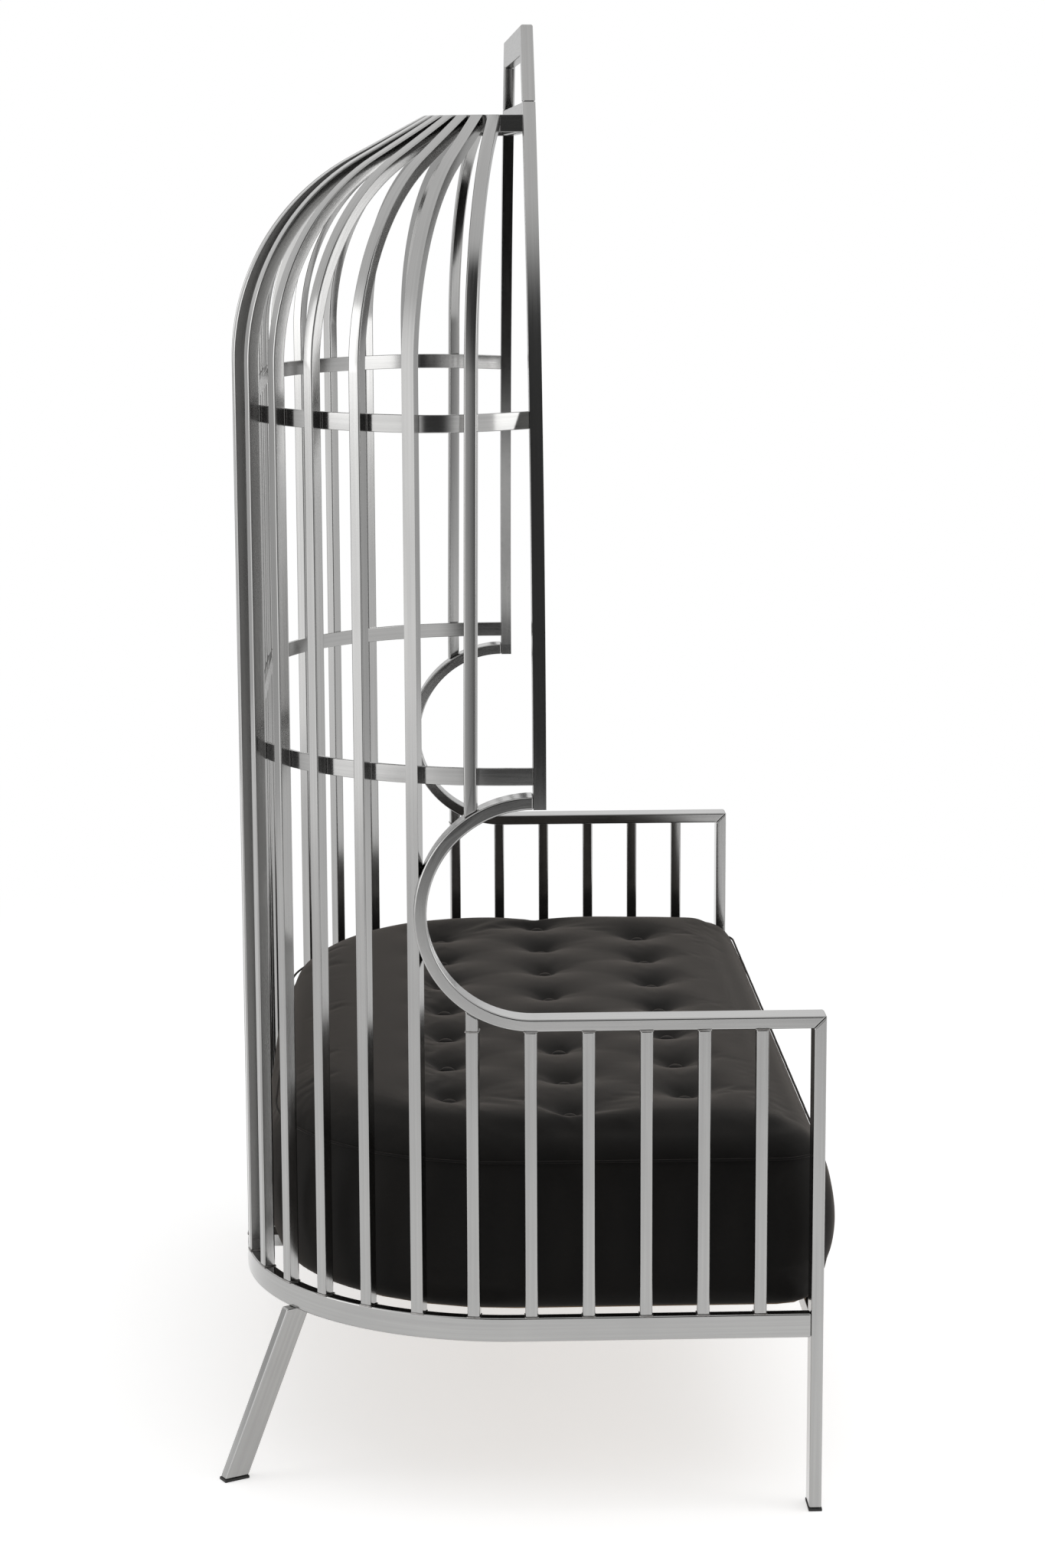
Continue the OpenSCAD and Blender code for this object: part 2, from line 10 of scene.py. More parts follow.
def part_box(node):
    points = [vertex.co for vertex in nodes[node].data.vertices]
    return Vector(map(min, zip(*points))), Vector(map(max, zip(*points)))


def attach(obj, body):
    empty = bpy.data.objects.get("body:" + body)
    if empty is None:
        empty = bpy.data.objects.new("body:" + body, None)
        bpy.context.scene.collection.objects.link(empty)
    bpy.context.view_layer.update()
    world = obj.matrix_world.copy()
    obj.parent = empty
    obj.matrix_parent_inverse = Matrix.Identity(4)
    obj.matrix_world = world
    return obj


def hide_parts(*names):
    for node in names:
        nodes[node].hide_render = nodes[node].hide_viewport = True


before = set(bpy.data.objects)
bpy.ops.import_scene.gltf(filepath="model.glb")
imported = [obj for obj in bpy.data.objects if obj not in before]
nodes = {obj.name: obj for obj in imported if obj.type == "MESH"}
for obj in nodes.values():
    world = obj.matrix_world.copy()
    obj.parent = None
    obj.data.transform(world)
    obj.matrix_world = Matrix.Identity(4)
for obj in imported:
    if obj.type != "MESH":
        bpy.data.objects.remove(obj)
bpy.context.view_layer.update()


scene = bpy.context.scene
random.seed(11)
print("cage sofa: %d solids loaded" % len(nodes))

# sofa, in millimetres from the front of the posts
sofa = {
    "width": 1410.0,
    "depth": 750.0,
    "cornerRadius": 360.0,
    "gaps": 35,
    "tube": 16.0,
    "barWidth": 38.0,
    "ringBottom": 235.0,
    "ringTop": 267.0,
    "hoopInset": 19.0,  # from the ring's outer face to a hoop's middle line
    "lowerHoop": 965.0,
    "upperHoop": 1402.0,
    "crownHoopInset": 266.0,
    "crownHoop": 1766.5,
    "armTop": 658.0,
    "armUprights": 6,
    "cageRibs": 22,
    "curveRadius": 150.0,
    "hoodFront": 353.0,
    "springHeight": 1463.0,
    "crownHeight": 1777.0,
    "crownInset": 263.0,
    "crownRun": 255.0,
    "crownSlope": 28.0,  # degrees
    "hoodTuck": 3.0,  # how far the hood's arcs end short of the crown's inset
    "ribFoot": 240.0,
    "hoodRibFoot": 900.0,
    "legTurn": 55.0,  # the leg's four angles are in degrees
    "legFace": 61.0,
    "legAim": 83.0,
    "legSplay": 20.4,
    "middleDepth": 378.753,  # this depth is at y = 0
}
halfWidth = sofa["width"] / 2
cornerX = halfWidth - sofa["cornerRadius"]
cornerY = sofa["depth"] - sofa["cornerRadius"]
pathRadius = sofa["cornerRadius"] - sofa["tube"] / 2
pathSide = cornerY - sofa["tube"] / 2
pathArc = pathRadius * math.pi / 2
pathLength = 2 * (pathSide + pathArc + cornerX)
pitch = pathLength / sofa["gaps"]
up = Vector((0, 0, 1))
sidewards = (1, 0, 0)
backwards = (0, 1, 0)


def inMetres(x, depth, z):
    return Vector((x / 1000, (depth - sofa["middleDepth"]) / 1000, z / 1000))


def stationAt(s):
    # x, depth and outward turn in radians at a distance along the ring from the left front post
    if s > pathLength / 2:
        x, depth, turn = stationAt(pathLength - s)
        return -x, depth, math.pi - turn
    if s < pathSide:
        return -halfWidth + sofa["tube"] / 2, sofa["tube"] / 2 + s, 0.0
    if s < pathSide + pathArc:
        turn = (s - pathSide) / pathRadius
        return -cornerX - pathRadius * math.cos(turn), cornerY + pathRadius * math.sin(turn), turn
    return -cornerX + s - pathSide - pathArc, sofa["depth"] - sofa["tube"] / 2, math.pi / 2


def linkObject(name, mesh):
    thing = bpy.data.objects.new(name, mesh)
    scene.collection.objects.link(thing)
    return thing


def smoothFaces(mesh):
    mesh.polygons.foreach_set("use_smooth", [True] * len(mesh.polygons))


def meshFrom(name, points, faces):
    mesh = bpy.data.meshes.new(name)
    mesh.from_pydata([tuple(p) for p in points], [], [tuple(f) for f in faces])
    mesh.validate()
    smoothFaces(mesh)
    return mesh


def positions(mesh):
    flat = np.zeros(len(mesh.vertices) * 3)
    mesh.vertices.foreach_get("co", flat)
    return flat.reshape(-1, 3)


def applied(thing):
    bpy.context.view_layer.update()
    graph = bpy.context.evaluated_depsgraph_get()
    done = bpy.data.meshes.new_from_object(thing.evaluated_get(graph))
    thing.modifiers.clear()
    old = thing.data
    thing.data = done
    bpy.data.meshes.remove(old)
    return thing


def tubeFaces(first, count, sides):
    # faces of a closed tube whose rings of points follow one another from the first point on
    faces = []
    for k in range(count):
        for m in range(sides):
            a, b = first + k * sides, first + (k + 1) % count * sides
            n = (m + 1) % sides
            faces.append((a + m, b + m, b + n, a + n))
    return faces


def finishPiece(thing, material, slotName, *replaced):
    thing.data.materials.clear()
    thing.data.materials.append(material)
    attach(thing, "root")
    if replaced:
        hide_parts(*replaced)


# camera
view = {
    "place": (-4.9290, 0.1487, 1.7252),
    "turn": 0.0343,  # radians towards the front of the sofa
    "pitch": 0.1793,  # downwards
    "roll": 0.0044,
    "focalPixels": 4527.1,
    "pictureHeight": 2048.0,
    "sensor": 36.0,
    "clipEnd": 200.0,
}


def makeCamera():
    lens = bpy.data.cameras.new("side_view")
    lens.sensor_fit = "AUTO"
    lens.sensor_width = view["sensor"]
    lens.lens = view["focalPixels"] / view["pictureHeight"] * view["sensor"]
    lens.clip_end = view["clipEnd"]
    camera = linkObject("side_view", lens)
    flat = Vector((math.cos(view["turn"]), -math.sin(view["turn"]), 0.0))
    level = Vector((-math.sin(view["turn"]), -math.cos(view["turn"]), 0.0))
    ahead = flat * math.cos(view["pitch"]) - Vector((0.0, 0.0, math.sin(view["pitch"])))
    above = level.cross(ahead)
    right = level * math.cos(view["roll"]) - above * math.sin(view["roll"])
    top = above * math.cos(view["roll"]) + level * math.sin(view["roll"])
    turned = Matrix((right, top, -ahead)).transposed().to_4x4()
    camera.matrix_world = Matrix.Translation(view["place"]) @ turned
    scene.camera = camera


makeCamera()
scene.view_settings.view_transform = "Standard"
print("camera placed")


# small helpers for materials
class Recipe:
    def __init__(self, name):
        self.material = bpy.data.materials.new(name)
        self.material.use_nodes = True
        self.tree = self.material.node_tree
        self.tree.nodes.clear()
        self.output = self.tree.nodes.new("ShaderNodeOutputMaterial")

    def add(self, kind, **settings):
        made = self.tree.nodes.new(kind)
        for key, value in settings.items():
            setattr(made, key, value)
        return made

    def join(self, source, target):
        self.tree.links.new(source, target)

    def noise(self, vector, scale, detail=3.0, roughness=0.5):
        made = self.add("ShaderNodeTexNoise")
        made.inputs["Scale"].default_value = scale
        made.inputs["Detail"].default_value = detail
        made.inputs["Roughness"].default_value = roughness
        self.join(vector, made.inputs["Vector"])
        return made.outputs["Fac"]

    def stretch(self, vector, scale):
        made = self.add("ShaderNodeMapping")
        made.inputs["Scale"].default_value = scale
        self.join(vector, made.inputs["Vector"])
        return made.outputs["Vector"]

    def spread(self, value, low, high, fromLow=0.3, fromHigh=0.7):
        made = self.add("ShaderNodeMapRange")
        made.inputs["From Min"].default_value = fromLow
        made.inputs["From Max"].default_value = fromHigh
        made.inputs["To Min"].default_value = low
        made.inputs["To Max"].default_value = high
        self.join(value, made.inputs["Value"])
        return made.outputs["Result"]

    def blend(self, factor, first, second):
        made = self.add("ShaderNodeMix", data_type="RGBA")
        self.join(factor, made.inputs["Factor"])
        for value, place in ((first, 6), (second, 7)):
            if isinstance(value, tuple):
                made.inputs[place].default_value = (*value, 1.0)
            else:
                self.join(value, made.inputs[place])
        return made.outputs[2]

    def bump(self, height, strength, distance, after=None):
        made = self.add("ShaderNodeBump")
        made.inputs["Strength"].default_value = strength
        made.inputs["Distance"].default_value = distance
        self.join(height, made.inputs["Height"])
        if after is not None:
            self.join(after, made.inputs["Normal"])
        return made.outputs["Normal"]

    def surface(self, **settings):
        made = self.add("ShaderNodeBsdfPrincipled")
        for key, value in settings.items():
            place = made.inputs[key.replace("_", " ")]
            if hasattr(value, "links") or hasattr(value, "is_linked"):
                self.join(value, place)
            elif isinstance(value, tuple) and len(value) == 3 and place.type == "RGBA":
                place.default_value = (*value, 1.0)
            else:
                place.default_value = value
        self.join(made.outputs["BSDF"], self.output.inputs["Surface"])
        return made


# brushed steel
steelLook = {
    "colour": (0.400, 0.398, 0.392),
    "smokedColour": (0.355, 0.353, 0.349),
    "roughLow": 0.09,
    "roughHigh": 0.19,
    "grainAcross": 1500.0,  # scratches to a metre, across the bar
    "grainAlong": 9.0,
    "grainDepth": 0.00002,
    "grainBump": 0.35,
    "streaks": (2.5, 260.0, 1.0),
    "clouds": 6.0,
    "cloudShares": (0.7, 1.3),
    "stretch": 0.25,
}


def brushedSteel():
    look = Recipe("brushedSteel")
    place = look.add("ShaderNodeUVMap", uv_map="grain").outputs["UV"]
    solid = look.add("ShaderNodeTexCoord").outputs["Object"]
    grain = look.stretch(place, (steelLook["grainAlong"], steelLook["grainAcross"], 1.0))
    scratches = look.noise(grain, 1.0, 5.0, 0.65)
    streaks = look.noise(look.stretch(place, steelLook["streaks"]), 1.0, 3.0, 0.55)
    clouds = look.noise(solid, steelLook["clouds"], 3.0, 0.5)
    both = look.add("ShaderNodeMath", operation="MULTIPLY")
    look.join(streaks, both.inputs[0])
    look.join(look.spread(clouds, *steelLook["cloudShares"]), both.inputs[1])
    share = look.spread(both.outputs[0], 0.0, 1.0)
    colour = look.blend(share, steelLook["smokedColour"], steelLook["colour"])
    rough = look.spread(scratches, steelLook["roughLow"], steelLook["roughHigh"])
    along = look.add("ShaderNodeTangent", direction_type="UV_MAP", uv_map="grain").outputs["Tangent"]
    look.surface(
        Base_Color=colour,
        Metallic=1.0,
        Roughness=rough,
        Anisotropic=steelLook["stretch"],
        Tangent=along,
        Normal=look.bump(scratches, steelLook["grainBump"], steelLook["grainDepth"]),
    )
    return look.material


weldLook = {
    "dull": (0.22, 0.21, 0.20),
    "bright": (0.36, 0.355, 0.35),
    "ripples": 420.0,
    "tint": 60.0,
    "rough": (0.30, 0.48),
    "depth": 0.0002,
}


def weldSteel():
    look = Recipe("weldSteel")
    solid = look.add("ShaderNodeTexCoord").outputs["Object"]
    ripples = look.noise(solid, weldLook["ripples"], 3.0, 0.6)
    tint = look.noise(solid, weldLook["tint"], 2.0, 0.5)
    look.surface(
        Base_Color=look.blend(look.spread(tint, 0.0, 1.0), weldLook["dull"], weldLook["bright"]),
        Metallic=1.0,
        Roughness=look.spread(ripples, *weldLook["rough"]),
        Normal=look.bump(ripples, 0.5, weldLook["depth"]),
    )
    return look.material


rubberLook = {
    "dark": (0.010, 0.010, 0.010),
    "scuffed": (0.026, 0.025, 0.024),
    "grain": 900.0,
    "scuffs": (60.0, 60.0, 400.0),
    "rough": (0.55, 0.75),
    "depth": 0.0001,
}


def glideRubber():
    look = Recipe("glideRubber")
    solid = look.add("ShaderNodeTexCoord").outputs["Object"]
    grain = look.noise(solid, rubberLook["grain"], 3.0, 0.6)
    scuffs = look.noise(look.stretch(solid, rubberLook["scuffs"]), 1.0, 3.0, 0.5)
    look.surface(
        Base_Color=look.blend(look.spread(scuffs, 0.0, 1.0), rubberLook["dark"], rubberLook["scuffed"]),
        Roughness=look.spread(grain, *rubberLook["rough"]),
        Normal=look.bump(grain, 0.3, rubberLook["depth"]),
    )
    return look.material


plywoodLook = {
    "dark": (0.34, 0.22, 0.12),
    "light": (0.50, 0.36, 0.21),
    "glue": (0.22, 0.13, 0.07),
    "glueShare": 0.35,
    "grain": (4.0, 90.0, 40.0),
    "plies": 110.0,
    "waviness": 0.6,
    "rough": (0.55, 0.75),
    "depth": 0.0003,
}


def boardPlywood():
    look = Recipe("boardPlywood")
    solid = look.add("ShaderNodeTexCoord").outputs["Object"]
    grain = look.noise(look.stretch(solid, plywoodLook["grain"]), 1.0, 5.0, 0.6)
    plies = look.add("ShaderNodeTexWave", bands_direction="Z")
    plies.inputs["Scale"].default_value = plywoodLook["plies"]
    plies.inputs["Distortion"].default_value = plywoodLook["waviness"]
    look.join(solid, plies.inputs["Vector"])
    wood = look.blend(look.spread(grain, 0.0, 1.0), plywoodLook["dark"], plywoodLook["light"])
    lines = look.spread(plies.outputs["Fac"], 0.0, plywoodLook["glueShare"])
    look.surface(
        Base_Color=look.blend(lines, wood, plywoodLook["glue"]),
        Roughness=look.spread(grain, *plywoodLook["rough"]),
        Normal=look.bump(grain, 0.4, plywoodLook["depth"]),
    )
    return look.material


# bars: the solids with rounded edges and a grain that runs along each bar
barShape = {
    "edge": 0.0023,  # rounding of a tube's edges
    "hoopEdge": 0.0009,
    "thinEdge": 0.0008,  # glides and board
    "screwEdge": 0.0004,
    "edgeSteps": 3,
    "flatWeight": 100,  # large faces stay flat and only their rounded edges shade
    "sharpAngle": 28.0,  # degrees from which an edge is rounded
    "flatAngle": 0.15,  # degrees under which neighbouring faces become one
    "weldReach": 1e-6,
    "bearerMiddle": 254.0,
    "bearerLength": 740.0,
    "screwEnds": (240.0, 262.0),
    "glideTop": 10.0,
}
# middle lines along which the grain runs, in millimetres apart from the leg's ends and the shift
lineShape = {
    "cornerSteps": 24,
    "ribSteps": 18,
    "bowSteps": 32,
    "hoodSteps": 30,
    "pastEnd": 20.0,  # how far a line goes on past an open end
    "ribEnd": 300.0,
    "bowEnd": 40.0,
    "hoodPast": 1.03,
    "legAbove": 0.02,
    "legBelow": 0.24,
    "facing": 0.707,  # cosine from which a face counts as lying across
    "faceShift": 0.1,  # keeps the grain of neighbouring faces apart
    "tiny": 1e-9,
}
steel = brushedSteel()


def planPath(inset, height):
    # the ring's outline at an inset from its outer face
    steps = lineShape["cornerSteps"]
    r = sofa["cornerRadius"] - inset
    left = [(-halfWidth + inset, -lineShape["pastEnd"]), (-halfWidth + inset, cornerY)]
    for i in range(1, steps + 1):
        a = math.pi / 2 * i / steps
        left.append((-cornerX - r * math.cos(a), cornerY + r * math.sin(a)))
    whole = left + [(-x, d) for x, d in reversed(left)]
    return [inMetres(x, d, height) for x, d in whole]


def ribPath(s, foot):
    # the middle line of a rib, up and over to the crown
    x, depth, turn = stationAt(s)
    inward = Vector((math.cos(turn), -math.sin(turn), 0.0))
    slope = math.radians(sofa["crownSlope"])
    end = math.pi / 2 - slope
    rise = sofa["crownHeight"] - sofa["springHeight"]
    a, b = 1 - math.cos(end), math.sin(end)
    r = (rise * b - sofa["crownRun"] * math.cos(end)) / (b * b - a * math.cos(end))
    half = sofa["tube"] / 2
    line = [(0.0, foot), (0.0, sofa["springHeight"])]
    for i in range(1, lineShape["ribSteps"] + 1):
        t = end * i / lineShape["ribSteps"]
        line.append((r - half - (r - half) * math.cos(t), sofa["springHeight"] + (r - half) * math.sin(t)))
    u, z = line[-1]
    line.append((u + lineShape["ribEnd"] * math.cos(slope), z + lineShape["ribEnd"] * math.sin(slope)))
    base = inMetres(x, depth, 0.0)
    return [base + inward * (u / 1000) + Vector((0, 0, z / 1000)) for u, z in line]


def bowPath(side):
    middle = sofa["armTop"] - sofa["tube"] / 2
    r = sofa["curveRadius"] - sofa["tube"] / 2
    x = side * (halfWidth - sofa["barWidth"] / 2)
    back = sofa["hoodFront"] + sofa["tube"]
    line = [(-lineShape["pastEnd"], middle), (back, middle)]
    for i in range(1, lineShape["bowSteps"] + 1):
        t = -math.pi / 2 + math.pi * i / lineShape["bowSteps"]
        line.append((back + r * math.cos(t), middle + r + r * math.sin(t)))
    line.append((back - lineShape["bowEnd"], middle + 2 * r))
    return [inMetres(x, d, z) for d, z in line]


def hoodPath(side):
    low = sofa["armTop"] - sofa["tube"] + 2 * sofa["curveRadius"]
    rise, run = sofa["crownHeight"] - low, sofa["crownInset"] - sofa["hoodTuck"]
    r = (rise * rise + run * run) / (2 * run)
    end = math.asin(min(1.0, rise * lineShape["hoodPast"] / r))
    line = []
    for i in range(lineShape["hoodSteps"] + 1):
        t = end * i / lineShape["hoodSteps"]
        line.append((halfWidth - r + (r - sofa["barWidth"] / 2) * math.cos(t), low + r * math.sin(t)))
    return [inMetres(side * x, sofa["hoodFront"] + sofa["tube"] / 2, z) for x, z in line]


def straightPath(name):
    low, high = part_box(name)
    size = high - low
    axis = max(range(3), key=lambda k: size[k])
    middle = (low + high) / 2
    first, last = middle.copy(), middle.copy()
    first[axis], last[axis] = low[axis], high[axis]
    return [first, last]


def legPath(side):
    turn, aim = math.radians(sofa["legTurn"]), math.radians(sofa["legAim"])
    splay = math.tan(math.radians(sofa["legSplay"]))
    down = Vector((side * math.cos(aim) * splay, math.sin(aim) * splay, -1.0))
    x, depth = cornerX + pathRadius * math.cos(turn), cornerY + pathRadius * math.sin(turn)
    top = inMetres(side * x, depth, sofa["ringBottom"])
    return [top - down * lineShape["legAbove"], top + down * lineShape["legBelow"]]


def grainMap(mesh, line, across):
    # u runs along the bar's middle line and v across each face, both in metres
    line = np.array([tuple(p) for p in line])
    starts, steps = line[:-1], np.diff(line, axis=0)
    lengths = np.linalg.norm(steps, axis=1)
    run = np.concatenate([[0.0], np.cumsum(lengths)])[:-1]
    count = len(mesh.vertices)
    points = positions(mesh)
    bestGap = np.full(count, np.inf)
    along, offset, way = np.zeros(count), np.zeros((count, 3)), np.zeros((count, 3))
    for start, step, length, before in zip(starts, steps, lengths, run):
        if length < lineShape["tiny"]:
            continue
        t = np.clip((points - start) @ step / length ** 2, 0.0, 1.0)
        gap = points - (start + t[:, None] * step)
        far = np.linalg.norm(gap, axis=1)
        near = far < bestGap - lineShape["tiny"]
        bestGap[near] = far[near]
        along[near] = before + t[near] * length
        offset[near] = gap[near]
        way[near] = step / length
    across = np.array(tuple(across), float)
    across = across / np.linalg.norm(across)
    sideways = np.cross(way, across)
    flat, tall = offset @ across, np.einsum("ij,ij->i", offset, sideways)
    layer = mesh.uv_layers.new(name="grain")
    data = np.zeros(len(mesh.loops) * 2)
    for face in mesh.polygons:
        facing = abs(np.dot(np.array(face.normal), across)) > lineShape["facing"]
        for corner in face.loop_indices:
            v = mesh.loops[corner].vertex_index
            data[2 * corner] = along[v]
            data[2 * corner + 1] = tall[v] + lineShape["faceShift"] if facing else flat[v]
    layer.data.foreach_set("uv", data)


def roundedCopy(name, edge):
    built = bmesh.new()
    built.from_mesh(nodes[name].data)
    bmesh.ops.remove_doubles(built, verts=built.verts, dist=barShape["weldReach"])
    bmesh.ops.dissolve_limit(
        built,
        angle_limit=math.radians(barShape["flatAngle"]),
        verts=built.verts,
        edges=built.edges,
        use_dissolve_boundaries=False,
    )
    mesh = bpy.data.meshes.new("bar_" + name)
    built.to_mesh(mesh)
    built.free()
    smoothFaces(mesh)
    thing = linkObject("bar_" + name, mesh)
    rounding = thing.modifiers.new("edge", "BEVEL")
    rounding.limit_method = "ANGLE"
    rounding.angle_limit = math.radians(barShape["sharpAngle"])
    rounding.width = edge
    rounding.segments = barShape["edgeSteps"]
    rounding.use_clamp_overlap = True
    flat = thing.modifiers.new("flatFaces", "WEIGHTED_NORMAL")
    flat.mode = "FACE_AREA"
    flat.weight = barShape["flatWeight"]
    flat.keep_sharp = True
    graph = bpy.context.evaluated_depsgraph_get()
    done = bpy.data.meshes.new_from_object(thing.evaluated_get(graph))
    thing.modifiers.clear()
    thing.data = done
    done.name = "bar_" + name
    return thing


def makeBar(name, line, across, edge=barShape["edge"], material=None, slotName="steel"):
    thing = roundedCopy(name, edge)
    grainMap(thing.data, line, across)
    finishPiece(thing, material or steel, slotName, name)


def makeBars():
    ringMiddle = (sofa["ringBottom"] + sofa["ringTop"]) / 2
    makeBar("base_ring", planPath(sofa["tube"] / 2, ringMiddle), up)
    for name, inset, height in (
        ("lower_hoop", sofa["hoopInset"], sofa["lowerHoop"]),
        ("upper_hoop", sofa["hoopInset"], sofa["upperHoop"]),
        ("crown_hoop", sofa["crownHoopInset"], sofa["crownHoop"]),
    ):
        makeBar(name, planPath(inset, height), up, barShape["hoopEdge"])
    armEnd = sofa["armUprights"] * pitch
    face = math.radians(sofa["legFace"])
    for side, word, hoodStation in ((-1, "left", armEnd), (1, "right", pathLength - armEnd)):
        makeBar("front_post_" + word, straightPath("front_post_" + word), sidewards)
        makeBar("back_leg_" + word, legPath(side), (side * math.sin(face), -math.cos(face), 0))
        makeBar("arm_bow_" + word, bowPath(side), sidewards)
        makeBar("hood_front_" + word, hoodPath(side), backwards)
        makeBar("hood_rib_" + word, ribPath(hoodStation, sofa["hoodRibFoot"]), backwards)
        for i in range(1, sofa["armUprights"] + 1):
            name = "arm_upright_%s_%d" % (word, i)
            makeBar(name, straightPath(name), sidewards)
    for i in range(1, sofa["cageRibs"] + 1):
        s = (i + sofa["armUprights"]) * pitch
        turn = stationAt(s)[2]
        makeBar("cage_rib_%d" % i, ribPath(s, sofa["ribFoot"]), (math.sin(turn), math.cos(turn), 0))
    for name in ("front_rail", "crown_bar", "crown_loop"):
        makeBar(name, straightPath(name), backwards)


def makeUnderside():
    middle, reach = barShape["bearerMiddle"], barShape["bearerLength"]
    makeBar("seat_bearers", [inMetres(0, 0, middle), inMetres(0, reach, middle)], sidewards)
    screw = [inMetres(0, 0, z) for z in barShape["screwEnds"]]
    makeBar("seat_screws", screw, sidewards, barShape["screwEdge"], steel, "screws")
    glide = [inMetres(0, 0, z) for z in (0, barShape["glideTop"])]
    makeBar("glides", glide, sidewards, barShape["thinEdge"], glideRubber(), "glides")
    board = straightPath("seat_board")
    makeBar("seat_board", board, backwards, barShape["thinEdge"], boardPlywood(), "plywood")


makeBars()
makeUnderside()
print("bars rounded and brushed")

# weld beads at the feet and heads of the uprights
weldShape = {
    "radius": 1.3,
    "steps": 40,
    "sides": 6,
    "lumps": 0.35,
}


def makeWelds():
    points, faces = [], []

    def beadAround(x, depth, z, turn, half):
        first = len(points)
        count, sides = weldShape["steps"], weldShape["sides"]
        outward = Vector((-math.cos(turn), math.sin(turn), 0.0))
        sideways = Vector((math.sin(turn), math.cos(turn), 0.0))
        middle = inMetres(x, depth, z)
        for k in range(count):
            t = 4.0 * k / count
            leg, share = int(t), t - int(t)
            a, b = [(-1 + 2 * share, -1), (1, -1 + 2 * share), (1 - 2 * share, 1), (-1, 1 - 2 * share)][leg]
            spot = middle + (sideways * a + outward * b) * (half / 1000)
            out = (sideways * a + outward * b).normalized()
            size = weldShape["radius"] * (1 + weldShape["lumps"] * (random.random() - 0.5)) / 1000
            for m in range(sides):
                w = 2 * math.pi * m / sides
                points.append(spot + (out * math.cos(w) + Vector((0, 0, math.sin(w)))) * size)
        faces.extend(tubeFaces(first, count, sides))

    half = sofa["tube"] / 2
    uprights = sofa["armUprights"]
    for i in range(1, sofa["gaps"]):
        x, depth, turn = stationAt(i * pitch)
        beadAround(x, depth, sofa["ringTop"], turn, half)
        if i <= uprights or i >= sofa["gaps"] - uprights:
            beadAround(x, depth, sofa["armTop"] - sofa["tube"], turn, half)
    mesh = meshFrom("weld_beads", points, faces)
    finishPiece(linkObject("weld_beads", mesh), weldSteel(), "steel")


makeWelds()
print("welds laid")

# seat pad, in millimetres apart from the voxel and the cap on the cover's move
padShape = {
    "halfWidth": 659.0,
    "backRadius": 318.0,
    "frontRadius": 60.0,
    "front": -6.0,
    "back": 708.0,
    "bottom": 260.6,
    "edgeHeight": 491.0,
    "crown": 12.0,
    "sideBulge": 6.0,
    "frontBulge": 14.0,
    "backBulge": 15.0,
    "topRound": 40.0,
    "bottomRound": 15.0,
    "edgeBlend": 110.0,  # from the edge to the full height of the crown
    "crownCurve": 2.6,
    "around": 260,  # points in a ring round the pad
    "cornerSteps": 24,
    "roundSteps": 6,
    "sideSteps": 12,
    "topRings": 26,
    "topSpacing": 0.9,
    "bottomStride": 6,
    "spineHalf": 330.0,
    "spineDepth": 300.0,
    "tuftPitch": 157.0,
    "tuftFirst": 160.0,
    "tuftDepth": 17.0,
    "tuftSpread": 30.0,
    "tuftCurve": 1.7,
    "tuftFade": 3.0,  # tufts near the pad's edge are shallower
    "pinch": 6.0,  # extra depth close round a button
    "pinchReach": 12.0,
    "pinchCurve": 1.4,
    "foldRing": 24.0,  # radius, width and height of the folds round a tuft
    "foldWidth": 17.0,
    "foldHeight": 0.9,
    "folds": (5, 8),
    "foldShares": (0.6, 0.4),  # even and uneven part of a fold's height
    "foldBand": 12.0,  # the folds reach this far below the edge's height
    "valleyWidth": 12.0,
    "valleyCurve": 0.4,
    "valleyDepth": (0.1, 0.6),
    "linkReach": 1.2,  # tufts up to this many pitches apart share a valley
    "holdBelow": 275.0,  # the cover is held on the board up to this height
    "holdFade": 8.0,
    "tuftHold": 22.0,
    "tuftHoldFade": 10.0,
    "tuftHoldBand": 25.0,
    "leastHold": 0.01,
    "weldReach": 1e-5,
    "voxel": 0.0075,
    "settle": (0.5, 3),  # share and times of each smoothing
    "relax": (0.4, 2),
    "moveCap": 0.006,
    "fill": 0.85,
    "seed": 7,
}
coverCloth = {
    "frames": 16,
    "quality": 5,
    "mass": 0.3,
    "stretch": 18.0,
    "shear": 8.0,
    "bend": 0.6,
    "pressure": 4.0,
}


def tuftSpots():
    # rows of seven, eight and seven, with the middle row half a pitch aside
    step, first = padShape["tuftPitch"], padShape["tuftFirst"]
    spots = [(i * step, first) for i in range(-3, 4)]
    spots += [((i + 0.5) * step, first + step) for i in range(-4, 4)]
    return spots + [(i * step, first + 2 * step) for i in range(-3, 4)]


tufts = tuftSpots()


def inPlan(mesh):
    # x, depth and height of a mesh's points in millimetres
    spots = positions(mesh)
    return spots[:, 0] * 1000, spots[:, 1] * 1000 + sofa["middleDepth"], spots[:, 2] * 1000


